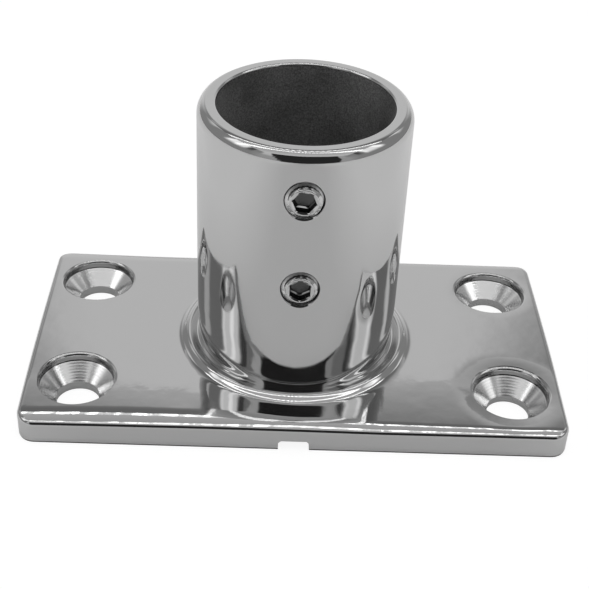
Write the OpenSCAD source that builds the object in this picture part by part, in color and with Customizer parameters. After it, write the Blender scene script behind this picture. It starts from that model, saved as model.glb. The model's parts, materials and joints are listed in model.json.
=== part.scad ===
// Tube clamp base flange: a one-piece cast plate and socket that fixes a rail tube to a deck.
// Two hex-socket set screws in the front of the socket clamp the tube.
// Sizes are in millimetres. The origin is the middle of the plate's underside and +Z runs up the socket.

/* [Base plate] */
// Length of the plate, left to right
plate_length = 82; // [81.8:0.1:120]
// Width of the plate, front to back
plate_width = 44.8; // [43:0.1:80]
// Thickness of the plate
plate_thickness = 5.2; // [4.8:0.1:8]
// Radius of the plate's four corners, seen from above
corner_radius = 2.6; // [2:0.1:5]
// Radius of the polished rounding along the top edge
edge_rounding = 1.5; // [0.6:0.1:1.7]
// Width of the small bevel along the ground bottom edge
base_bevel = 0.3; // [0.1:0.05:0.6]

/* [Socket] */
// Outside diameter of the rail tube that the socket holds
tube_diameter = 25.4; // [20:0.1:26]
// Gap between the tube and the wall of the bore, on each side
tube_clearance = 0.1; // [0.05:0.05:0.4]
// Thickness of the socket's wall
socket_wall = 2.75; // [2:0.05:3]
// Height of the rim above the underside of the plate
socket_height = 46; // [44:0.5:90]
// Rounding of the rim's outer edge
rim_rounding = 1.5; // [0.3:0.1:1.8]
// Rounding of the rim's inner edge
mouth_rounding = 0.4; // [0.2:0.1:0.8]
// Height of the ledge that stops the tube, above the underside
stop_height = 3; // [2.6:0.1:4.5]
// Width of the ledge that stops the tube
stop_width = 1.6; // [0.8:0.1:3]

/* [Bead] */
// Radius of the round-topped bead that runs round the socket's foot
bead_radius = 1.6; // [0.8:0.1:2]
// Distance from the socket's outer wall to the middle of the bead
bead_offset = 0.8; // [0.5:0.1:1.4]
// Depth of the bead's middle below the top of the plate
bead_sink = 0.5; // [0.1:0.1:0.6]
// Radius of the hollow fillet between the bead and the plate
foot_fillet = 0.7; // [0.2:0.05:1]

/* [Mounting holes] */
// Distance between the left and the right holes
hole_spacing_x = 66.4; // [62:0.1:66.8]
// Distance between the front and the back holes
hole_spacing_y = 26; // [20:0.1:26.6]
// Diameter of the holes that the mounting screws pass through
hole_diameter = 6.6; // [4:0.1:8]
// Diameter of the straight lip above the countersink
lip_diameter = 11.8; // [9:0.1:12]
// Depth of the straight lip below the top of the plate
lip_depth = 1.3; // [0.6:0.1:1.8]
// Rounding of the lip's polished upper edge
lip_rounding = 0.3; // [0.1:0.05:0.4]
// Width of the flat shoulder between the lip and the countersink
lip_shoulder = 0.15; // [0.05:0.05:0.4]

/* [Set screws] */
// Pitch diameter of the thread, at which the screws and their holes are drawn plain
thread_diameter = 5.35; // [3.5:0.05:5.6]
// Gap between a screw and its hole, on each side
thread_clearance = 0.045; // [0.02:0.005:0.1]
// Distance from the rim down to the upper screw
upper_screw_drop = 7.2; // [5.5:0.1:14]
// Height of the lower screw above the underside of the plate
lower_screw_height = 24.2; // [14:0.1:25]
// Length of each screw
screw_length = 3; // [2.6:0.1:3]
// How far the upper screw stands out of the socket
upper_screw_proud = 0.5; // [0.35:0.05:1.2]
// How far the lower screw stands out of the socket
lower_screw_proud = 0.3; // [0.3:0.05:1.2]
// Width across the flats of the hex key socket
hex_size = 3; // [2:0.5:3]
// Depth of the hex key socket
hex_depth = 1.5; // [1:0.1:1.6]
// Width of the bevel at both ends of a screw
screw_bevel = 0.45; // [0.2:0.05:0.6]
// Radius of the cup in the clamping end of a screw
cup_radius = 1.4; // [0.8:0.1:1.5]
// Bevel round each screw hole, where it opens in the socket's outer wall
hole_bevel = 0.33; // [0.1:0.01:0.5]

/* [Drain] */
// Width of the drain groove in the underside
drain_width = 4.6; // [3:0.1:8]
// Depth of the drain groove
drain_depth = 1.65; // [0.8:0.05:1.75]
// Bevel along the groove's upper corners
drain_bevel = 0.4; // [0.2:0.1:0.7]

/* [Hidden] */
// Segments of a full circle in the preview
$fn = 96;
// Overrun of a cut past the face that it opens
cut = 1;
bore_radius = tube_diameter / 2 + tube_clearance;
socket_radius = bore_radius + socket_wall;
well_radius = bore_radius - stop_width;
// The rim's outer rounding leaves some of the flat between it and the mouth's rounding
rim_radius = min(rim_rounding, socket_wall - mouth_rounding - 0.1);
bead_centre = socket_radius + bead_offset;
bead_height = plate_thickness - bead_sink;
// Distance from the socket's axis to the middle of the hollow fillet, which touches bead and plate
fillet_centre = bead_centre + sqrt(pow(bead_radius + foot_fillet, 2) - pow(bead_sink + foot_fillet, 2));
upper_screw_height = socket_height - upper_screw_drop;
hole_radius = hole_diameter / 2;
lip_radius = lip_diameter / 2;
// The countersink has a right angle, so its full cone is as deep as this radius
cone_radius = lip_radius - lip_shoulder;
screw_radius = thread_diameter / 2;
screw_hole_radius = screw_radius + thread_clearance;
// Depth of the hex socket's drill point and of the cup, both cut at 45 degrees or flatter
drill_point_depth = hex_size / 8;
cup_depth = cup_radius / 4;

// Half of a bar's section: its width from the middle line outwards and its height,
// with the top outer corner rounded and the bottom outer corner bevelled
module half_section(half_width) {
  difference() {
    square([half_width, plate_thickness]);
    translate([half_width - edge_rounding, plate_thickness - edge_rounding])
      difference() {
        square(edge_rounding + cut);
        circle(edge_rounding);
      }
    polygon([
      [half_width - base_bevel, 0],
      [half_width + cut, base_bevel + cut],
      [half_width + cut, -cut],
      [half_width - base_bevel, -cut]
    ]);
  }
}

module bar(half_width, length) {
  linear_extrude(length, center = true) {
    half_section(half_width);
    mirror([1, 0]) half_section(half_width);
  }
}

// Plate with rounded corners: a bar along each axis and a turned post at each corner
module plate() {
  corner_x = plate_length / 2 - corner_radius;
  corner_y = plate_width / 2 - corner_radius;
  rotate([90, 0, 90]) bar(plate_width / 2, 2 * corner_x);
  rotate([90, 0, 0]) bar(plate_length / 2, 2 * corner_y);
  for (x = [-corner_x, corner_x], y = [-corner_y, corner_y])
    translate([x, y, 0]) rotate_extrude() half_section(corner_radius);
}

// Section of the socket with its bead, drawn solid from the axis outwards
module socket_section() {
  difference() {
    square([socket_radius, socket_height]);
    translate([socket_radius - rim_radius, socket_height - rim_radius])
      difference() {
        square(rim_radius + cut);
        circle(rim_radius);
      }
  }
  intersection() {
    translate([bead_centre, bead_height]) circle(bead_radius);
    square([fillet_centre, socket_height]);
  }
  difference() {
    polygon([
      [bead_centre, bead_height],
      [fillet_centre, plate_thickness],
      [fillet_centre, plate_thickness + foot_fillet]
    ]);
    translate([fillet_centre, plate_thickness + foot_fillet]) circle(foot_fillet);
  }
  square([fillet_centre, plate_thickness]);
}

// Bore for the tube, its rounded mouth, and the well below the stop ledge
module bore_section() {
  translate([0, stop_height]) square([bore_radius, socket_height]);
  translate([0, -cut]) square([well_radius, stop_height + 2 * cut]);
  difference() {
    translate([0, socket_height - mouth_rounding]) square([bore_radius + mouth_rounding, cut]);
    translate([bore_radius + mouth_rounding, socket_height - mouth_rounding]) circle(mouth_rounding);
  }
}

// Mounting hole from above: rounded edge, straight lip, shoulder, countersink and through hole
module mounting_hole_section() {
  translate([0, -cut]) square([hole_radius, plate_thickness + 2 * cut]);
  translate([0, plate_thickness - lip_depth])
    polygon([[0, 0], [cone_radius, 0], [0, -cone_radius]]);
  translate([0, plate_thickness - lip_depth]) square([lip_radius, lip_depth + cut]);
  difference() {
    translate([0, plate_thickness - lip_rounding]) square([lip_radius + lip_rounding, cut]);
    translate([lip_radius + lip_rounding, plate_thickness - lip_rounding]) circle(lip_rounding);
  }
}

// Hole for a set screw, along +Y from the front of the socket into the bore
module set_screw_hole(height) {
  translate([0, -socket_radius, height]) rotate([-90, 0, 0]) {
    translate([0, 0, -cut]) cylinder(r = screw_hole_radius, h = socket_wall + 2 * cut);
    translate([0, 0, -cut])
      cylinder(r1 = screw_hole_radius + hole_bevel + cut, r2 = screw_hole_radius, h = hole_bevel + cut);
  }
}

// Groove in the underside, from the well to the front edge of the plate
module drain_groove() {
  half = drain_width / 2;
  rotate([90, 0, 0]) linear_extrude(plate_width / 2 + cut)
    polygon([
      [-half, -cut],
      [half, -cut],
      [half, drain_depth - drain_bevel],
      [half - drain_bevel, drain_depth],
      [drain_bevel - half, drain_depth],
      [-half, drain_depth - drain_bevel]
    ]);
}

module flange_body() {
  color("lightsteelblue")
    difference() {
      union() {
        plate();
        rotate_extrude() socket_section();
      }
      rotate_extrude() bore_section();
      for (x = [-hole_spacing_x / 2, hole_spacing_x / 2], y = [-hole_spacing_y / 2, hole_spacing_y / 2])
        translate([x, y, 0]) rotate_extrude() mounting_hole_section();
      set_screw_hole(upper_screw_height);
      set_screw_hole(lower_screw_height);
      drain_groove();
    }
}

// Set screw with its key end at z = 0 and its cupped clamping end at z = screw_length
module set_screw(hex_turn) {
  end_radius = screw_radius - screw_bevel;
  difference() {
    rotate_extrude()
      polygon([
        [0, 0],
        [end_radius, 0],
        [screw_radius, screw_bevel],
        [screw_radius, screw_length - screw_bevel],
        [end_radius, screw_length],
        [0, screw_length]
      ]);
    rotate([0, 0, hex_turn]) translate([0, 0, -cut])
      cylinder(r = hex_size / sqrt(3), h = hex_depth + cut, $fn = 6);
    translate([0, 0, hex_depth]) cylinder(r1 = hex_size / 2, r2 = 0, h = drill_point_depth);
    translate([0, 0, screw_length - cup_depth]) cylinder(r1 = 0, r2 = cup_radius, h = cup_depth);
  }
}

module placed_set_screw(height, proud, hex_turn) {
  translate([0, -socket_radius - proud, height]) rotate([-90, 0, 0]) set_screw(hex_turn);
}

module upper_set_screw() {
  color("silver") placed_set_screw(upper_screw_height, upper_screw_proud, 8);
}

module lower_set_screw() {
  color("gray") placed_set_screw(lower_screw_height, lower_screw_proud, 30);
}

flange_body();
upper_set_screw();
lower_set_screw();
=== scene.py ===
import json
import math

import bpy
import numpy as np
from mathutils import Matrix, Vector


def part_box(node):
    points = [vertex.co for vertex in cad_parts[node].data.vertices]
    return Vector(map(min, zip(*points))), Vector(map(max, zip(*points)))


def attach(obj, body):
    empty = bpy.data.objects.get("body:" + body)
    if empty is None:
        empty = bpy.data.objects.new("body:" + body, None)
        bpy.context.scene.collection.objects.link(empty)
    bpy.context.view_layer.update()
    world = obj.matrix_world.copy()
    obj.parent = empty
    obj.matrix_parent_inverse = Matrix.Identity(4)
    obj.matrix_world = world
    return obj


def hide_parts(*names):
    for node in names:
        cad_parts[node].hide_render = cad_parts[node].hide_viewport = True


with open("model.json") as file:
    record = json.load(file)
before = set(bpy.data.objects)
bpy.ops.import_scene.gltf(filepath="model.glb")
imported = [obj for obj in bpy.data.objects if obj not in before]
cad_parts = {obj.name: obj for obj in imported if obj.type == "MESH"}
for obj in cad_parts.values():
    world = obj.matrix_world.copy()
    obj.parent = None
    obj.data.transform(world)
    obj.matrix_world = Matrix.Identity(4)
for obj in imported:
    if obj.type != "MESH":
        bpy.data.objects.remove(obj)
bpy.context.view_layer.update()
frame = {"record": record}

MM = 0.001

# Camera, fitted to the photograph's edges, rim and holes
CAMERA_PLACE = Vector((-4.741, -158.117, 123.911)) * MM
CAMERA_AZIMUTH = math.radians(1.601)
CAMERA_ELEVATION = math.radians(35.165)
CAMERA_ROLL = math.radians(2.795)
CAMERA_LENS = 75.03
CAMERA_SENSOR = 36.0

# The floor as metal sees it: its paint, and a glow that grows with the distance along X in metres
FLOOR_SIZE = 6.0
FLOOR_PAINT = 0.9
FLOOR_RISE = {"From Min": 0.03, "From Max": 0.07, "To Min": 0.08, "To Max": 0.25}
# The floor as the camera sees it: a glow, and a little paint that takes the shadow
SEEN_PAINT = 0.2
SEEN_GLOW = 0.9
# Gap between the floor and the plate, in millimetres
FLOOR_GAP = 0.02

# The light box round the object, in metres. Metal and floor see it, and the camera doesn't
BOX_GREY = 0.75
WALL_DISTANCE = 0.8
WALL_GREY = 0.32
# Panels on the box's wall: middle as an azimuth in degrees from the front towards +X, half width,
# soft edge, and brightness. The low ones reach from the floor up to the first of the turns below,
# and the high ones from the second to the third
LOW_PANELS = [(180, 34, 14, 0.78), (0, 50, 12, 0.45)]
HIGH_PANELS = [
    (180, 17, 7, 0.76), (-126, 7, 4, 0.8), (-79, 13, 3, 1.35), (-76, 2.5, 2, 2.1),
    (-89, 1.5, 2, 1.7), (-59.5, 3.5, 1.5, 0.1), (-37, 9, 3, 0.75), (34, 9, 3, 0.5),
    (59, 3, 1.5, 0.1), (79, 13.5, 3, 1.25), (68.5, 1.5, 2, 1.6), (87, 2.5, 2, 1.8),
    (124, 5, 4, 1.1),
]
# Elevations in degrees at which the wall's brightness turns, and the rows of points on the wall
WALL_TURNS = (24, 30, 44, 51, 59)
WALL_ROWS = (0, 12, 20, 28, 32, 36, 40, 44, 48, 50.9, 51.1, 55, 59)
UPPER_GREY = 0.6
TOP_GREY = 0.7
# The dark opening that the photo was taken through: elevation, left and right edge in degrees
OPENING = [(0, -24, 34), (20, -30, 37), (36, -36, 36), (51, -41, 41)]
OPENING_GREY = 0.03
# Brightness of the lid over the object, by place along Y in metres from front to back
LID_GLOW = [
    (-0.26, 0.8), (-0.13, 0.6), (-0.05, 0.5), (0.045, 0.6),
    (0.09, 0.2), (0.16, 0.2), (0.22, 0.25), (0.3, 0.6),
]
LID_HEIGHT = 0.305
LID_HALF = 0.27
# Two rows of lamp dots under the lid, in front of and behind the object, with a faint strip just
# above each. The tilt is in degrees from straight up, and the front row bends forwards at the right
LAMP_HEIGHT = 0.3
LAMP_TILT = 13.0
LAMP_BEND = 0.1
LAMP_SPACING = 0.0104
LAMP_COUNT = 52
LAMP_WIDTH = 0.0046
LAMP_LENGTH = 0.038
DOT_STRENGTH = 3.6
STRIP_STRENGTH = 0.9
STRIP_LIFT = 0.001

# The body in millimetres. Its outline, height, bore and the places of its holes come from the frame
PLATE_THICKNESS = 5.2
CORNER_RADIUS = 2.6
# Width and height of the bevel along the ground bottom edge
BASE_BEVEL = (0.1, 0.3)
EDGE_ROUNDING = 0.8
# Shoulder along the front and back edges: place along X, width, radius, and fall of the front half
SHOULDER = [
    (-41, 3.0, 6.5, 0.95), (-26, 3.4, 6.8, 0.62), (-13, 3.3, 6.4, 0.52), (0, 2.4, 4.0, 0.72),
    (13, 2.1, 3.7, 0.95), (26, 1.9, 3.4, 0.95), (41, 1.8, 3.2, 0.95),
]
# Shoulder along the ends: width and radius
END_SHOULDER = (0.9, 3.0)
# Fall of the back half from the middle to the edge
CROWN = 0.4
# The socket's wall is waisted below this height
NECK_TOP = 13.5
NECK_HEIGHT = 8.5
NECK_DEPTH = 0.42
NECK_BEND = 1.6
# Heights inside the plate at which the socket's solid and its wall start
SOCKET_FOOT = 1.0
WALL_FOOT = 3.0
# The rim's rounding is tight at the top and wide where it meets the wall, and changes at an angle
RIM_ROUNDING = (0.95, 2.2)
RIM_TURN = 50
MOUTH_ROUNDING = 0.4
SOCKET_WALL = 2.75
STOP_HEIGHT = 3.0
STOP_WIDTH = 1.6
# The bead is a soft swell: distance of its flank from the wall, the flank's width and slope,
# each at the front and at the sides. At the sides there is a hollow between bead and wall, given
# by its depth and width. The bead's swell has died out at the reach
BEAD_FLANK = (1.25, 2.0)
BEAD_WIDTH = (0.59, 0.55)
BEAD_SLOPE = (0.68, 0.95)
BEAD_HOLLOW = (0.75, 0.95)
BEAD_REACH = 4.2
LIP_RADIUS = 5.75
LIP_DEPTH = 1.3
LIP_ROUNDING = 0.5
LIP_SHOULDER = 0.15
# Turned grooves in the countersink
RING_COUNT = 7
RING_DEPTH = 0.004
# Shallow hollows polished round the right-hand holes: side along Y, radius and depth at the middle
DISHES = [(-1, 9.4, 0.48), (1, 8.0, 0.24)]
SCREW_HOLE_RADIUS = 2.86
# Width of the bevel round a screw's hole, and how deep it goes per millimetre of width
HOLE_BEVEL = 0.24
BEVEL_STEEPNESS = 0.8
DRAIN_WIDTH = 4.6
DRAIN_DEPTH = 1.65
DRAIN_BEVEL = 0.4
# Overrun of a cut past the face that it opens
CUT = 1.0

# The set screws in millimetres, with heights from the key end
SCREW_RADIUS = 2.7
SCREW_END = 2.1
SCREW_LENGTH = 3.0
END_ROUNDING = 0.2
BEVEL_START = 0.18
BEVEL_DEPTH = 0.5
THREAD_PITCH = 1.0
THREAD_DEPTH = 0.5
THREAD_START = 285.0
# The thread's groove as a share of its depth: it falls from the root's value in its middle by the
# flank's value for each turn away from there, and is held between 0 and 1, so its root is flat
GROOVE_ROOT = 1.35
GROOVE_FLANK = 4.2
# The root of the first turns takes dark steel as painted shade: from this share of the thread's
# depth, and as far in as this height
SHADED_ROOT_SHARE = 0.62
FIRST_TURNS_DEPTH = 1.2
HEX_SIZE = 3.0
HEX_DEPTH = 1.5
HEX_MOUTH = 1.8
# Bevels at the foot and at the mouth of the hex key socket
HEX_FOOT = 0.17
HEX_CHAMFER = 0.14
CUP_RADIUS = 1.4
# Turn of each screw round its axis, and the angle from which its edges stay sharp, in degrees
UPPER_TURN = 8
LOWER_TURN = 30
SHARP_ANGLE = 32

# Numbers of sides of the turned forms
SOCKET_SIDES = 320
BORE_SIDES = 256
HOLE_SIDES = 128
SCREW_SIDES = 96
# Steps over the plate's rounded edge, and rings from there to the bead and over the bead. Those to
# the bead spread out by a power, and lie at least the gap in millimetres apart where there is room
EDGE_STEPS = 9
TOP_RINGS = 44
TOP_SPREAD = 2.2
TOP_GAP = 0.15
BEAD_RINGS = 44

# Finish of each face, carried through the cuts
# Two zones carry dark steel as painted shade: the bottom bevel, and the hex socket with the screws'
# thread root
TOP, WALL, POLISHED, BORE, CONE, LIP, LAND, GROUND, TAPPED, SHADED_EDGE, FACE, SHADED_HOLLOW = range(12)

# Steel by name: grey, roughness between two values, and bumps as scale per metre, stretch and depth
# in millimetres. The cast bore also has dark flecks, as scale and grey
EVEN = (1, 1, 1)
FLANGE_STEELS = {
    "polished_steel": (0.56, (0.03, 0.09), [(140, EVEN, 0.045), (420, (1, 1, 0.25), 0.009)]),
    "cast_bore": (0.54, (0.5, 0.7), [(1200, EVEN, 0.05), (5000, EVEN, 0.02)], (4200, 0.3)),
    "machined_cone": (0.86, (0.18, 0.27), [(700, EVEN, 0.012)]),
    "machined_lip": (0.36, (0.12, 0.2), [(600, (1, 1, 0.2), 0.01)]),
    "drilled_land": (0.42, (0.2, 0.35), [(900, EVEN, 0.02)]),
    "ground_base": (0.5, (0.28, 0.4), [(3000, (1, 0.03, 1), 0.01)]),
    # Dark steel on the bottom bevel: painted shade for the contact shadow along the bottom edge
    "dull_edge": (0.1, (0.35, 0.5), [(1500, EVEN, 0.01)]),
}
SCREW_STEELS = {
    "set_screw_steel": (0.6, (0.08, 0.14), [(900, EVEN, 0.01)]),
    # Dark steel in the hex socket and in the root of the first turns: painted shade
    "hex_recess": (0.1, (0.22, 0.32), [(1500, EVEN, 0.02)]),
    "screw_thread": (0.56, (0.3, 0.4), [(1500, EVEN, 0.01)]),
}
STEEL_OF_ZONE = {
    TOP: "polished_steel", WALL: "polished_steel", POLISHED: "polished_steel", BORE: "cast_bore",
    CONE: "machined_cone", LIP: "machined_lip", LAND: "drilled_land", GROUND: "ground_base",
    SHADED_EDGE: "dull_edge", FACE: "set_screw_steel", SHADED_HOLLOW: "hex_recess",
}


def make_camera():
    data = bpy.data.cameras.new("camera")
    data.lens = CAMERA_LENS
    data.sensor_width = CAMERA_SENSOR
    data.clip_start = 0.01
    forward = Vector((
        math.sin(CAMERA_AZIMUTH) * math.cos(CAMERA_ELEVATION),
        math.cos(CAMERA_AZIMUTH) * math.cos(CAMERA_ELEVATION),
        -math.sin(CAMERA_ELEVATION),
    ))
    level = forward.cross(Vector((0, 0, 1))).normalized()
    upright = level.cross(forward)
    right = level * math.cos(CAMERA_ROLL) + upright * math.sin(CAMERA_ROLL)
    up = right.cross(forward)
    turn = Matrix((right, up, -forward)).transposed().to_4x4()
    camera = bpy.data.objects.new("camera", data)
    camera.matrix_world = Matrix.Translation(CAMERA_PLACE) @ turn
    bpy.context.scene.collection.objects.link(camera)
    bpy.context.scene.camera = camera


class Nodes:
    """Short forms for building a node tree"""

    def __init__(self, tree):
        self.tree = tree
        tree.nodes.clear()

    def add(self, kind, **settings):
        node = self.tree.nodes.new(kind)
        for name, value in settings.items():
            setattr(node, name, value)
        return node

    def link(self, output, socket):
        self.tree.links.new(output, socket)


def new_material(name):
    material = bpy.data.materials.new(name)
    material.use_nodes = True
    return material, Nodes(material.node_tree)


def add_object(name, mesh):
    obj = bpy.data.objects.new(name, mesh)
    bpy.context.scene.collection.objects.link(obj)
    return obj


def read(elements, name, width=1, kind=np.float32):
    """One property of all elements, as an array with a row each if it is a vector"""
    values = np.zeros(len(elements) * width, kind)
    elements.foreach_get(name, values)
    return values.reshape(-1, width) if width > 1 else values


def read_zones(mesh):
    return read(mesh.attributes["zone"].data, "value", kind=np.int32)


def mark(mesh, zones, ways):
    """Gives the faces their zones and the corners their normals, which last through the cuts"""
    mesh.attributes.new("zone", "INT", "FACE").data.foreach_set("value", zones)
    vectors = np.asarray(ways, dtype=np.float32).ravel()
    mesh.attributes.new("way", "FLOAT_VECTOR", "CORNER").data.foreach_set("vector", vectors)


def make_world():
    world = bpy.data.worlds.new("light_box")
    world.use_nodes = True
    n = Nodes(world.node_tree)
    path = n.add("ShaderNodeLightPath")
    seen = n.add("ShaderNodeBackground")
    seen.inputs["Color"].default_value = (1, 1, 1, 1)
    light = n.add("ShaderNodeBackground")
    light.inputs["Color"].default_value = (BOX_GREY, BOX_GREY, BOX_GREY, 1)
    mix = n.add("ShaderNodeMixShader")
    out = n.add("ShaderNodeOutputWorld")
    n.link(path.outputs["Is Camera Ray"], mix.inputs["Fac"])
    n.link(light.outputs["Background"], mix.inputs[1])
    n.link(seen.outputs["Background"], mix.inputs[2])
    n.link(mix.outputs["Shader"], out.inputs["Surface"])
    bpy.context.scene.world = world


def floor_material():
    material, n = new_material("floor_white")
    path = n.add("ShaderNodeLightPath")
    paint = n.add("ShaderNodeBsdfDiffuse")
    paint.inputs["Color"].default_value = (FLOOR_PAINT, FLOOR_PAINT, FLOOR_PAINT, 1)
    place = n.add("ShaderNodeTexCoord")
    parts = n.add("ShaderNodeSeparateXYZ")
    aside = n.add("ShaderNodeMath", operation="ABSOLUTE")
    rise = n.add("ShaderNodeMapRange")
    for name, value in FLOOR_RISE.items():
        rise.inputs[name].default_value = value
    low_glow = n.add("ShaderNodeEmission")
    lit = n.add("ShaderNodeAddShader")
    n.link(place.outputs["Object"], parts.inputs["Vector"])
    n.link(parts.outputs["X"], aside.inputs[0])
    n.link(aside.outputs["Value"], rise.inputs["Value"])
    n.link(rise.outputs["Result"], low_glow.inputs["Strength"])
    n.link(paint.outputs["BSDF"], lit.inputs[0])
    n.link(low_glow.outputs["Emission"], lit.inputs[1])
    faint = n.add("ShaderNodeBsdfDiffuse")
    faint.inputs["Color"].default_value = (SEEN_PAINT, SEEN_PAINT, SEEN_PAINT, 1)
    glow = n.add("ShaderNodeEmission")
    glow.inputs["Strength"].default_value = SEEN_GLOW
    both = n.add("ShaderNodeAddShader")
    mix = n.add("ShaderNodeMixShader")
    out = n.add("ShaderNodeOutputMaterial")
    n.link(faint.outputs["BSDF"], both.inputs[0])
    n.link(glow.outputs["Emission"], both.inputs[1])
    n.link(path.outputs["Is Camera Ray"], mix.inputs["Fac"])
    n.link(lit.outputs["Shader"], mix.inputs[1])
    n.link(both.outputs["Shader"], mix.inputs[2])
    # Seen from below, the floor is clear
    side = n.add("ShaderNodeNewGeometry")
    clear = n.add("ShaderNodeBsdfTransparent")
    face = n.add("ShaderNodeMixShader")
    n.link(side.outputs["Backfacing"], face.inputs["Fac"])
    n.link(mix.outputs["Shader"], face.inputs[1])
    n.link(clear.outputs["BSDF"], face.inputs[2])
    n.link(face.outputs["Shader"], out.inputs["Surface"])
    return material


def emission(name, strength):
    material, n = new_material(name)
    glow = n.add("ShaderNodeEmission")
    glow.inputs["Strength"].default_value = strength
    out = n.add("ShaderNodeOutputMaterial")
    n.link(glow.outputs["Emission"], out.inputs["Surface"])
    return material


def add_stage(name, mesh, material, seen=False):
    mesh.materials.append(material)
    obj = add_object(name, mesh)
    obj.visible_camera = seen


def card(name, corners, material, seen=False):
    """One or more flat faces of the stage, each given by four corners"""
    faces = [tuple(range(k, k + 4)) for k in range(0, len(corners), 4)]
    mesh = bpy.data.meshes.new(name)
    mesh.from_pydata(corners, [], faces)
    add_stage(name, mesh, material, seen)


def glow_material():
    """Glows as bright as the mesh says at each point"""
    material, n = new_material("box_wall")
    level = n.add("ShaderNodeAttribute", attribute_name="glow")
    glow = n.add("ShaderNodeEmission")
    out = n.add("ShaderNodeOutputMaterial")
    n.link(level.outputs["Fac"], glow.inputs["Strength"])
    n.link(glow.outputs["Emission"], out.inputs["Surface"])
    return material


def glowing(name, rows):
    """A sheet of the light box between rows of points, each point with a brightness"""
    points = [place for row in rows for place, _ in row]
    glow = [level for row in rows for _, level in row]
    wide = len(rows[0])
    faces = [(k * wide + i, (k + 1) * wide + i, (k + 1) * wide + i + 1, k * wide + i + 1)
             for k in range(len(rows) - 1) for i in range(wide - 1)]
    mesh = bpy.data.meshes.new(name)
    mesh.from_pydata(points, [], faces)
    mesh.attributes.new("glow", "FLOAT", "POINT").data.foreach_set("value", glow)
    add_stage(name, mesh, glow_material())


def panelled(place, panels):
    """Brightness of the box's wall at an azimuth"""
    level = WALL_GREY
    for middle, half, soft, bright in panels:
        off = abs((place - middle + 180) % 360 - 180)
        share = min(max((half + soft / 2 - off) / soft, 0), 1)
        level += (bright - level) * share
    return level


def make_box():
    elevations, lefts, rights = np.array(OPENING).T
    # Columns of points every 2 degrees, and every half degree where the opening is
    near = [k / 2 for k in range(-120, 121)]
    rows = []
    for place in [*range(-180, -60, 2), *near, *range(62, 181, 2)]:
        low = panelled(place, LOW_PANELS)
        high = panelled(place, HIGH_PANELS)
        levels = (low, high, high, (high + UPPER_GREY) / 2, TOP_GREY)
        angle = math.radians(place)
        x, y = WALL_DISTANCE * math.sin(angle), -WALL_DISTANCE * math.cos(angle)
        row = []
        for elevation in WALL_ROWS:
            level = np.interp(elevation, WALL_TURNS, levels)
            left = np.interp(elevation, elevations, lefts)
            right = np.interp(elevation, elevations, rights)
            inside = min(place - left, right - place)
            share = min(max(inside + 0.5, 0), 1) * (elevation <= elevations[-1])
            z = WALL_DISTANCE * math.tan(math.radians(elevation))
            row.append(((x, y, z), level + (OPENING_GREY - level) * share))
        rows.append(row)
    glowing("box_wall", rows)
    glowing("box_lid", [[((-LID_HALF, y, LID_HEIGHT), level), ((LID_HALF, y, LID_HEIGHT), level)]
                        for y, level in LID_GLOW])


def make_stage():
    half = FLOOR_SIZE / 2
    z = -FLOOR_GAP * MM
    card("floor", [(-half, -half, z), (half, -half, z), (half, half, z), (-half, half, z)],
         floor_material(), seen=True)
    make_box()
    dots, strips = [], []
    reach = LAMP_COUNT * LAMP_SPACING / 2
    for side in (-1, 1):
        for k in range(LAMP_COUNT):
            dots += lamp(side, (k - (LAMP_COUNT - 1) / 2) * LAMP_SPACING, LAMP_WIDTH / 2, 0)
        for middle in (-reach / 2, reach / 2):
            strips += lamp(side, middle, reach / 2, STRIP_LIFT)
    card("lamp_dots", dots, emission("lamp_dots", DOT_STRENGTH))
    card("lamp_strips", strips, emission("lamp_strips", STRIP_STRENGTH))


def lamp(side, x, half, lift):
    """Corners of a piece of the front (-1) or back (1) row of lamps, by middle and half width"""
    across = side * LAMP_HEIGHT * math.tan(math.radians(LAMP_TILT))
    corners = []
    for dx, dy in ((-1, -1), (-1, 1), (1, 1), (1, -1)):
        place = x + dx * half
        bend = -LAMP_BEND * max(place, 0) if side < 0 else 0
        corners.append((place, across + bend + dy * LAMP_LENGTH / 2, LAMP_HEIGHT + lift))
    return corners


def unit(v):
    return v / np.maximum(np.linalg.norm(v, axis=-1, keepdims=True), 1e-12)


class Section:
    """Outline of a turned form, walked with the material on the left, as (radius, height) points"""

    def __init__(self, r, z):
        self.points = [(r, z)]
        self.bands = []

    def line(self, r, z, zone):
        r0, z0 = self.points[-1]
        length = math.hypot(r - r0, z - z0)
        way = ((z - z0) / length, (r0 - r) / length)
        self.points.append((r, z))
        self.bands.append((zone, way, way))
        return self

    def arc(self, centre, end, zone, step):
        """Round a centre to an end angle in degrees. A turn to a larger angle is convex"""
        r0, z0 = self.points[-1]
        radius = math.hypot(r0 - centre[0], z0 - centre[1])
        start = math.degrees(math.atan2(z0 - centre[1], r0 - centre[0]))
        side = 1 if end > start else -1
        count = max(2, math.ceil(abs(end - start) / step))
        ways = []
        for k in range(count + 1):
            angle = math.radians(start + (end - start) * k / count)
            ways.append((side * math.cos(angle), side * math.sin(angle)))
            if k:
                self.points.append((centre[0] + radius * math.cos(angle),
                                    centre[1] + radius * math.sin(angle)))
                self.bands.append((zone, ways[k - 1], ways[k]))
        return self

    def grooved(self, r, z, zone, count, depth):
        """A line with fine turned grooves across it, no two of the same depth"""
        r0, z0 = self.points[-1]
        length = math.hypot(r - r0, z - z0)
        along = ((r - r0) / length, (z - z0) / length)
        out = (along[1], -along[0])
        last = out
        steps = 6 * count
        for k in range(1, steps + 1):
            turn = 2 * math.pi * count * k / steps
            uneven = depth * (0.7 + 0.3 * math.sin(0.37 * turn))
            lift = -uneven * (1 - math.cos(turn)) / 2
            slope = -uneven * math.pi * count / length * math.sin(turn)
            size = math.hypot(1, slope)
            way = ((out[0] - along[0] * slope) / size, (out[1] - along[1] * slope) / size)
            t = k / steps
            self.points.append((r0 + (r - r0) * t + out[0] * lift,
                                z0 + (z - z0) * t + out[1] * lift))
            self.bands.append((zone, last, way))
            last = way
        return self


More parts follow.
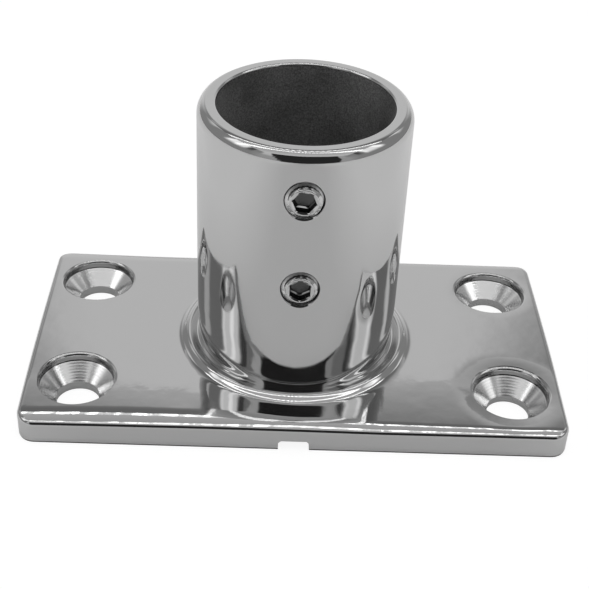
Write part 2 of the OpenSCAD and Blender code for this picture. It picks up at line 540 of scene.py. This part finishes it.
def skin(name, rings, bands, cut=False):
    """A closed mesh from rings of points. The band between two rings has a zone, and the normals at
    both rings. Those of a cut point the other way"""
    points, starts, faces, zones, ways = [], [], [], [], []
    for ring in rings:
        starts.append(len(points))
        points.extend(map(tuple, ring))
    count = max(len(ring) for ring in rings)
    for k, (zone, way_a, way_b) in enumerate(bands):
        a, b = starts[k], starts[k + 1]
        pole_a, pole_b = len(rings[k]) == 1, len(rings[k + 1]) == 1
        for i in range(count):
            j = (i + 1) % count
            if pole_a:
                face, way = (a, b + j, b + i), (way_a[i], way_b[j], way_b[i])
            elif pole_b:
                face, way = (a + i, a + j, b), (way_a[i], way_a[j], way_b[i])
            else:
                face = (a + i, a + j, b + j, b + i)
                way = (way_a[i], way_a[j], way_b[j], way_b[i])
            faces.append(face)
            zones.append(zone)
            ways.extend(way)
    mesh = bpy.data.meshes.new(name)
    mesh.from_pydata(points, [], faces)
    sign = -1.0 if cut else 1.0
    mark(mesh, zones, sign * np.array(ways))
    return add_object(name, mesh)


def turned(name, section, count, cut=False):
    """A section turned round the Z axis"""
    angles = 2 * np.pi * np.arange(count) / count
    round_x, round_y = np.cos(angles), np.sin(angles)
    rings = []
    for r, z in section.points:
        if r < 1e-9:
            rings.append([(0.0, 0.0, z)])
        else:
            rings.append(np.stack([r * round_x, r * round_y, np.full(count, z)], axis=1))

    def swept(way):
        return np.stack([way[0] * round_x, way[0] * round_y, np.full(count, way[1])], axis=1)

    bands = [(zone, swept(a), swept(b)) for zone, a, b in section.bands]
    return skin(name, rings, bands, cut)


def outline(half_x, half_y, radius):
    """Points of the plate's outline and their outward directions, counterclockwise from above"""
    corner_steps, spacing = 12, 0.5
    cx, cy = half_x - radius, half_y - radius
    points, ways = [], []
    corners = [(cx, -cy, -90), (cx, cy, 0), (-cx, cy, 90), (-cx, -cy, 180)]
    for k, (x, y, start) in enumerate(corners):
        for i in range(corner_steps + 1):
            angle = math.radians(start + 90 * i / corner_steps)
            way = (math.cos(angle), math.sin(angle))
            points.append((x + radius * way[0], y + radius * way[1]))
            ways.append(way)
        nx, ny, _ = corners[(k + 1) % 4]
        angle = math.radians(start + 90)
        end = (nx + radius * math.cos(angle), ny + radius * math.sin(angle))
        here = points[-1]
        count = round(math.dist(here, end) / spacing)
        for i in range(1, count):
            t = i / count
            points.append((here[0] + (end[0] - here[0]) * t,
                           here[1] + (end[1] - here[1]) * t))
            ways.append(ways[-1])
    return np.array(points), np.array(ways)


class Plate:
    """The plate's polished top as one height over x and y: a slight crown from front to back, soft
    shoulders along the edges, shallow hollows round two holes, and the bead's swell"""

    def __init__(self, half_x, half_y, hole_x, hole_y, wall):
        self.half_x, self.half_y = half_x, half_y
        self.hole_x, self.hole_y = hole_x, hole_y
        self.wall = wall

    def height(self, x, y):
        along, widths, bends, falls = np.array(SHOULDER).T
        fall = CROWN + (np.interp(x, along, falls) - CROWN) * (y < 0)
        z = PLATE_THICKNESS - fall * (y / self.half_y) ** 2
        past = np.maximum(np.abs(y) - (self.half_y - np.interp(x, along, widths)), 0)
        bend = np.interp(x, along, bends)
        z = z - bend + np.sqrt(bend ** 2 - past ** 2)
        past = np.maximum(np.abs(x) - (self.half_x - END_SHOULDER[0]), 0)
        z = z - END_SHOULDER[1] + np.sqrt(END_SHOULDER[1] ** 2 - past ** 2)
        for side, radius, depth in DISHES:
            near = np.hypot(x - self.hole_x, y - side * self.hole_y) / radius
            z = z - depth * np.maximum(1 - near ** 2, 0) ** 2
        r = np.maximum(np.hypot(x, y), 1e-6)
        # 1 at the front, and 0 at the sides and the back
        front = np.maximum(-y / r, 0) ** 3
        flank, width, slope = (side + (ahead - side) * front
                               for ahead, side in (BEAD_FLANK, BEAD_WIDTH, BEAD_SLOPE))
        out = r - self.wall
        z = z + slope * width * (1 - np.tanh((out - flank) / width))
        depth, width = BEAD_HOLLOW
        return z - depth * (1 - front) * np.exp(-(out / width) ** 2)

    def normal(self, x, y):
        """Upward normal of the top, from its heights a little to each side"""
        step = 0.005
        dx = (self.height(x + step, y) - self.height(x - step, y)) / (2 * step)
        dy = (self.height(x, y + step) - self.height(x, y - step)) / (2 * step)
        return unit(np.stack([-dx, -dy, np.ones_like(dx)], axis=-1))

    def solid(self):
        """The plate's mesh, in rings from the middle of its underside to the middle of its top"""
        points, ways = outline(self.half_x, self.half_y, CORNER_RADIUS)
        # Slope of the top across the edge, about where the rounding takes over
        reach = points - ways * EDGE_ROUNDING * 0.4
        slope = self.normal(reach[:, 0], reach[:, 1])
        tilt = np.arctan2((slope[:, :2] * ways).sum(axis=1), slope[:, 2])
        touch = points - ways * (EDGE_ROUNDING * (1 - np.sin(tilt)))[:, None]
        centre_z = self.height(touch[:, 0], touch[:, 1]) - EDGE_ROUNDING * np.cos(tilt)
        up = np.array([0.0, 0.0, 1.0])
        flat_ways = np.concatenate([ways, np.zeros((len(ways), 1))], axis=1)

        def at(place, z):
            height = np.broadcast_to(z, len(place))[:, None]
            return np.concatenate([place, height], axis=1)

        bevel_width, bevel_height = BASE_BEVEL
        down = np.broadcast_to(-up, (len(points), 3))
        slant = unit(bevel_height * flat_ways - bevel_width * up)
        rings = [np.zeros((1, 3)), at(points - ways * bevel_width, 0), at(points, bevel_height)]
        # The bevel along the bottom edge takes the dark steel, painted shade for the contact shadow
        # there
        bands = [(GROUND, down, down), (SHADED_EDGE, slant, slant)]
        last = flat_ways
        for k in range(EDGE_STEPS + 1):
            angle = np.pi / 2 + (tilt - np.pi / 2) * k / EDGE_STEPS
            place = points - ways * (EDGE_ROUNDING * (1 - np.sin(angle)))[:, None]
            rings.append(at(place, centre_z + EDGE_ROUNDING * np.cos(angle)))
            way = flat_ways * np.sin(angle)[:, None] + up * np.cos(angle)[:, None]
            bands.append((POLISHED, last, way))
            last = way
        # From the edge to a circle outside the bead
        circle = unit(points) * (self.wall + BEAD_REACH)
        gap = np.linalg.norm(touch - circle, axis=1)[:, None]
        places = []
        for k in range(1, TOP_RINGS + 1):
            share = np.maximum((k / TOP_RINGS) ** TOP_SPREAD, TOP_GAP * k / np.maximum(gap, 5))
            places.append(touch + (circle - touch) * np.clip(share, 0, 1))
        # Circles over the bead, and on to just inside the socket's wall
        for r in np.linspace(self.wall + BEAD_REACH - 0.1, self.wall - 0.3, BEAD_RINGS):
            places.append(unit(points) * r)
        for place in places:
            rings.append(at(place, self.height(place[:, 0], place[:, 1])))
            way = self.normal(place[:, 0], place[:, 1])
            bands.append((TOP, last, way))
            last = way
        rings.append(np.array([[0.0, 0.0, PLATE_THICKNESS - 1]]))
        bands.append((TOP, last, np.broadcast_to(up, (len(points), 3))))
        return skin("plate", rings, bands)


def neck(radius, z):
    """Radius of the socket's wall, a little waisted above the bead, and its slope"""
    below = np.clip((NECK_TOP - z) / NECK_HEIGHT, 0, 1)
    slope = NECK_BEND * NECK_DEPTH / NECK_HEIGHT * below ** (NECK_BEND - 1)
    return radius - NECK_DEPTH * below ** NECK_BEND, slope


def socket_section(radius, height):
    """Wall and rim, solid from the axis outwards and sunk into the plate"""
    section = Section(0, SOCKET_FOOT).line(neck(radius, WALL_FOOT)[0], SOCKET_FOOT, GROUND)
    for z in np.linspace(WALL_FOOT, NECK_TOP, 40):
        section.line(neck(radius, z)[0], z, WALL)
    tight, wide = RIM_ROUNDING
    across = (wide - tight) * math.cos(math.radians(RIM_TURN))
    rise = (wide - tight) * math.sin(math.radians(RIM_TURN))
    z = height - tight - rise
    section.line(radius, z, WALL).arc((radius - wide, z), RIM_TURN, POLISHED, 4)
    section.arc((radius - wide + across, z + rise), 90, POLISHED, 4)
    return section.line(0, height, POLISHED)


def bore_section(radius, height):
    """Well inside the stop ledge, bore and rounded mouth"""
    well, mouth = radius - STOP_WIDTH, radius + MOUTH_ROUNDING
    section = Section(0, -CUT).line(well, -CUT, GROUND).line(well, STOP_HEIGHT, BORE)
    section.line(radius, STOP_HEIGHT, BORE).line(radius, height - MOUTH_ROUNDING, BORE)
    section.arc((mouth, height - MOUTH_ROUNDING), 90, POLISHED, 10)
    return section.line(mouth, height + CUT, POLISHED).line(0, height + CUT, POLISHED)


def hole_section(radius):
    """Through hole, countersink with turned grooves, shoulder, straight lip and rounded edge"""
    cone = LIP_RADIUS - LIP_SHOULDER
    lip_z = PLATE_THICKNESS - LIP_DEPTH
    section = Section(0, -CUT).line(radius, -CUT, GROUND).line(radius, lip_z - cone + radius, LAND)
    section.grooved(cone, lip_z, CONE, RING_COUNT, RING_DEPTH).line(LIP_RADIUS, lip_z, LIP)
    edge, above = LIP_RADIUS + LIP_ROUNDING, PLATE_THICKNESS + CUT
    section.line(LIP_RADIUS, PLATE_THICKNESS - LIP_ROUNDING, LIP)
    section.arc((edge, PLATE_THICKNESS - LIP_ROUNDING), 90, POLISHED, 10)
    return section.line(edge, above, POLISHED).line(0, above, POLISHED)


def screw_hole_section():
    """Along the screw's axis, from the inside of the socket outwards"""
    sink = BEVEL_STEEPNESS * HOLE_BEVEL
    mouth = SCREW_HOLE_RADIUS + (sink + CUT) / BEVEL_STEEPNESS
    inside = -SOCKET_WALL - CUT
    section = Section(0, inside).line(SCREW_HOLE_RADIUS, inside, TAPPED)
    section.line(SCREW_HOLE_RADIUS, -sink, TAPPED).line(mouth, CUT, POLISHED)
    return section.line(0, CUT, POLISHED)


def drain_cutter(half_y):
    """Groove in the underside, from the middle of the plate through its front edge"""
    half = DRAIN_WIDTH / 2
    section = [(-half, -CUT), (half, -CUT), (half, DRAIN_DEPTH - DRAIN_BEVEL),
               (half - DRAIN_BEVEL, DRAIN_DEPTH), (DRAIN_BEVEL - half, DRAIN_DEPTH),
               (-half, DRAIN_DEPTH - DRAIN_BEVEL)]
    points = [(x, y, z) for y in (-half_y - CUT, 0.0) for x, z in section]
    count = len(section)
    faces = [tuple(range(count)), tuple(reversed(range(count, 2 * count)))]
    faces += [(i + count, (i + 1) % count + count, (i + 1) % count, i) for i in range(count)]
    mesh = bpy.data.meshes.new("drain")
    mesh.from_pydata(points, [], faces)
    mesh.update()
    ways = [-polygon.normal for polygon in mesh.polygons for _ in polygon.vertices]
    mark(mesh, [GROUND] * len(faces), ways)
    return add_object("drain", mesh)


def placed(source, matrices, name):
    """One object of several copies of a cutter, with its normals turned along"""
    mesh = source.data
    co = read(mesh.vertices, "co", 3)
    way = read(mesh.attributes["way"].data, "vector", 3)
    points, faces, ways = [], [], []
    for k, matrix in enumerate(matrices):
        m = np.array(matrix)
        points.append(co @ m[:3, :3].T + m[:3, 3])
        ways.append(way @ m[:3, :3].T)
        faces += [[v + k * len(co) for v in face.vertices] for face in mesh.polygons]
    joined = bpy.data.meshes.new(name)
    joined.from_pydata(np.concatenate(points), [], faces)
    mark(joined, np.tile(read_zones(mesh), len(matrices)), np.concatenate(ways))
    bpy.data.objects.remove(source)
    return add_object(name, joined)


def carve(base, steps):
    """Applies unions and cuts to a base in turn, and returns the finished mesh"""
    for operation, tool in steps:
        modifier = base.modifiers.new(tool.name, "BOOLEAN")
        modifier.operation = operation
        modifier.object = tool
        modifier.solver = "MANIFOLD"
    bpy.context.view_layer.update()
    evaluated = base.evaluated_get(bpy.context.evaluated_depsgraph_get())
    mesh = bpy.data.meshes.new_from_object(evaluated)
    for _, tool in steps:
        bpy.data.objects.remove(tool)
    bpy.data.objects.remove(base)
    return mesh


def finish_normals(mesh, plate, radius):
    """Sets each corner's normal: worked out on the top and the wall, carried along elsewhere"""
    way = read(mesh.attributes["way"].data, "vector", 3).astype(float)
    vertex = read(mesh.loops, "vertex_index", kind=np.int32)
    place = read(mesh.vertices, "co", 3)[vertex].astype(float)
    sizes = read(mesh.polygons, "loop_total", kind=np.int32)
    corner_zone = np.repeat(read_zones(mesh), sizes)
    top = corner_zone == TOP
    way[top] = plate.normal(place[top, 0], place[top, 1])
    wall = corner_zone == WALL
    slope = neck(radius, place[wall, 2])[1]
    way[wall] = unit(place[wall] * (1, 1, 0)) - slope[:, None] * (0, 0, 1)
    mesh.polygons.foreach_set("use_smooth", [True] * len(mesh.polygons))
    mesh.normals_split_custom_set(unit(way))


def flange_mesh():
    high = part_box("flange_body")[1] / MM
    mounts = {m["name"]: m for m in frame["record"]["mounts"]}
    bore_radius = mounts["tube_bore"]["dims"]["r_mm"]
    pattern = mounts["mounting_holes"]["dims"]
    radius = bore_radius + SOCKET_WALL
    hole_x, hole_y = pattern["spacing_x_mm"] / 2, pattern["spacing_y_mm"] / 2
    plate = Plate(high.x, high.y, hole_x, hole_y, radius)
    base = plate.solid()
    socket = turned("socket", socket_section(radius, high.z), SOCKET_SIDES)
    bore = turned("bore", bore_section(bore_radius, high.z), BORE_SIDES, cut=True)
    # Each hole is sunk to the height of the plate's top beside its lip, and tilted as the crown is
    spots = []
    for x in (-hole_x, hole_x):
        for y in (-hole_y, hole_y):
            fall = PLATE_THICKNESS - plate.height(x - math.copysign(LIP_RADIUS, x), y)
            tilt = math.atan(2 * CROWN * y / plate.half_y ** 2)
            spots.append(Matrix.Translation((x, y, -fall)) @ Matrix.Rotation(-tilt, 4, "X"))
    hole = turned("hole", hole_section(pattern["hole_r_mm"]), HOLE_SIDES, cut=True)
    holes = placed(hole, spots, "holes")
    forwards = Matrix.Rotation(math.pi / 2, 4, "X")
    spots = []
    for node in ("upper_set_screw", "lower_set_screw"):
        a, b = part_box(node)
        z = (a.z + b.z) / 2 / MM
        spots.append(Matrix.Translation((0, -radius, z)) @ forwards)
    tapped = turned("tapped", screw_hole_section(), SCREW_SIDES, cut=True)
    tapped = placed(tapped, spots, "tapped_holes")
    drain = drain_cutter(high.y)
    mesh = carve(base, [("UNION", socket), ("DIFFERENCE", bore), ("DIFFERENCE", holes),
                        ("DIFFERENCE", tapped), ("DIFFERENCE", drain)])
    finish_normals(mesh, plate, radius)
    mesh.transform(Matrix.Scale(MM, 4))
    return mesh


def screw_rings(turn):
    """Rings of a set screw along +Z, from the middle of its hex socket over the thread to the cup,
    and the zones of the bands between them"""
    angles = math.radians(turn) + 2 * np.pi * np.arange(SCREW_SIDES) / SCREW_SIDES
    across = np.stack([np.cos(angles), np.sin(angles)], axis=1)
    off_flat = np.mod(angles - math.radians(turn), np.pi / 3) - np.pi / 6
    hexagon = HEX_SIZE / 2 / np.cos(off_flat)

    def ring(radius, z):
        radius = np.broadcast_to(radius, SCREW_SIDES)
        return np.concatenate([across * radius[:, None], np.full((SCREW_SIDES, 1), z)], axis=1)

    rings = [np.array([[0, 0, HEX_DEPTH + HEX_SIZE / 8]]), ring(HEX_SIZE / 2 - 0.25, HEX_DEPTH),
             ring(hexagon - HEX_FOOT, HEX_DEPTH), ring(hexagon, HEX_DEPTH - HEX_FOOT),
             ring(hexagon, HEX_CHAMFER), ring(HEX_MOUTH - 0.02, 0.02), ring(HEX_MOUTH + 0.03, 0)]
    for t in np.linspace(0, 1.5, 6):
        radius = SCREW_END - END_ROUNDING + END_ROUNDING * math.sin(t)
        rings.append(ring(radius, END_ROUNDING * (1 - math.cos(t))))
    # The hex socket's floor and walls take the dark steel as painted shade, and the bevel at its
    # foot the bright steel
    zones = [SHADED_HOLLOW, SHADED_HOLLOW, FACE, SHADED_HOLLOW] + [FACE] * 8
    for z in np.linspace(END_ROUNDING + 0.02, SCREW_LENGTH - 0.02, 70):
        start = (angles - math.radians(THREAD_START)) / (2 * np.pi)
        phase = np.mod(z / THREAD_PITCH - start, 1)
        groove = np.clip(GROOVE_ROOT - GROOVE_FLANK * np.abs(phase - 0.5), 0, 1)
        bevel = SCREW_END + min(z - BEVEL_START, SCREW_LENGTH - z) / BEVEL_STEEPNESS
        rings.append(ring(np.minimum(SCREW_RADIUS - THREAD_DEPTH * groove, bevel), z))
        zones.append(TAPPED if z > FIRST_TURNS_DEPTH else FACE)
    rings += [ring(SCREW_END - 0.03, SCREW_LENGTH), ring(CUP_RADIUS, SCREW_LENGTH),
              np.array([[0, 0, SCREW_LENGTH - CUP_RADIUS / 4]])]
    return rings, zones + [FACE, FACE, FACE]


def make_screw(name, node, body, turn, materials):
    """A set screw with its key end at the front of its node's box"""
    rings, zones = screw_rings(turn)
    no_ways = np.zeros((SCREW_SIDES, 3))
    obj = skin(name, rings, [(zone, no_ways, no_ways) for zone in zones])
    mesh = obj.data
    mesh.attributes.remove(mesh.attributes["way"])
    zone = read_zones(mesh)
    x, y, z = read(mesh.polygons, "center", 3).T
    r = np.hypot(x, y)
    # The first turns take dark steel in their root as painted shade, and shine on the bevel before
    # them
    turns = (z > 0.15) & (z < FIRST_TURNS_DEPTH) & (r > SCREW_END)
    bevel = SCREW_END + (z - BEVEL_START) / BEVEL_STEEPNESS
    root = np.minimum(SCREW_RADIUS - SHADED_ROOT_SHARE * THREAD_DEPTH, bevel - 0.04)
    outside = np.where(z < BEVEL_DEPTH, FACE, TAPPED)
    zone[turns] = np.where(r < root, SHADED_HOLLOW, outside)[turns]
    low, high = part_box(node)
    place = Matrix.Translation((0, low.y / MM, (low.z + high.z) / 2 / MM))
    backwards = Matrix.Rotation(-math.pi / 2, 4, "X")
    mesh.transform(Matrix.Scale(MM, 4) @ place @ backwards)
    finish(mesh, zone, materials, {**STEEL_OF_ZONE, TAPPED: "screw_thread"})
    mesh.polygons.foreach_set("use_smooth", [True] * len(mesh.polygons))
    mesh.set_sharp_from_angle(angle=math.radians(SHARP_ANGLE))
    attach(obj, body)
    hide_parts(node)


def finish(mesh, zone, materials, steel_of_zone):
    """Gives each face the steel of its zone"""
    mesh.materials.clear()
    for material in materials.values():
        mesh.materials.append(material)
    slots = {name: k for k, name in enumerate(materials)}
    mesh.polygons.foreach_set("material_index", [slots[steel_of_zone[k]] for k in zone])


def steel(name, grey, roughness, dents, flecks=None):
    """Steel with a cloudy roughness between two values, bumps of one or more sizes, and flecks if
    they are given"""
    material, n = new_material(name)
    shader = n.add("ShaderNodeBsdfPrincipled")
    shader.inputs["Base Color"].default_value = (grey, grey, grey, 1)
    shader.inputs["Metallic"].default_value = 1.0
    out = n.add("ShaderNodeOutputMaterial")
    n.link(shader.outputs["BSDF"], out.inputs["Surface"])
    place = n.add("ShaderNodeTexCoord")
    cloud = n.add("ShaderNodeTexNoise")
    cloud.inputs["Scale"].default_value = 160
    cloud.inputs["Detail"].default_value = 6
    rough = n.add("ShaderNodeMapRange")
    rough.inputs["From Min"].default_value = 0.35
    rough.inputs["From Max"].default_value = 0.7
    rough.inputs["To Min"].default_value, rough.inputs["To Max"].default_value = roughness
    n.link(place.outputs["Object"], cloud.inputs["Vector"])
    n.link(cloud.outputs["Fac"], rough.inputs["Value"])
    n.link(rough.outputs["Result"], shader.inputs["Roughness"])
    normal = shader.inputs["Normal"]
    for scale, stretch, depth in reversed(dents):
        turn = n.add("ShaderNodeMapping")
        turn.inputs["Scale"].default_value = stretch
        noise = n.add("ShaderNodeTexNoise")
        noise.inputs["Scale"].default_value = scale
        noise.inputs["Detail"].default_value = 2
        bump = n.add("ShaderNodeBump")
        bump.inputs["Distance"].default_value = depth * MM
        n.link(place.outputs["Object"], turn.inputs["Vector"])
        n.link(turn.outputs["Vector"], noise.inputs["Vector"])
        n.link(noise.outputs["Fac"], bump.inputs["Height"])
        n.link(bump.outputs["Normal"], normal)
        normal = bump.inputs["Normal"]
    if flecks:
        scale, dark = flecks
        speck = n.add("ShaderNodeTexNoise")
        speck.inputs["Scale"].default_value = scale
        speck.inputs["Detail"].default_value = 4
        ramp = n.add("ShaderNodeValToRGB")
        for element, position, level in zip(ramp.color_ramp.elements, (0.38, 0.66), (dark, grey)):
            element.position = position
            element.color = (level, level, level, 1)
        n.link(place.outputs["Object"], speck.inputs["Vector"])
        n.link(speck.outputs["Fac"], ramp.inputs["Fac"])
        n.link(ramp.outputs["Color"], shader.inputs["Base Color"])
    return material


def make_flange():
    mesh = flange_mesh()
    materials = {name: steel(name, *look) for name, look in FLANGE_STEELS.items()}
    finish(mesh, read_zones(mesh), materials, {**STEEL_OF_ZONE, TAPPED: "drilled_land"})
    flange = add_object("flange", mesh)
    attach(flange, "flange")
    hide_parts("flange_body")


def make_screws():
    materials = {name: steel(name, *look) for name, look in SCREW_STEELS.items()}
    make_screw("upper_screw_piece", "upper_set_screw", "upper_screw", UPPER_TURN, materials)
    make_screw("lower_screw_piece", "lower_set_screw", "lower_screw", LOWER_TURN, materials)


make_camera()
make_world()
make_stage()
make_flange()
make_screws()

scene = bpy.context.scene
scene.view_settings.view_transform = "Standard"
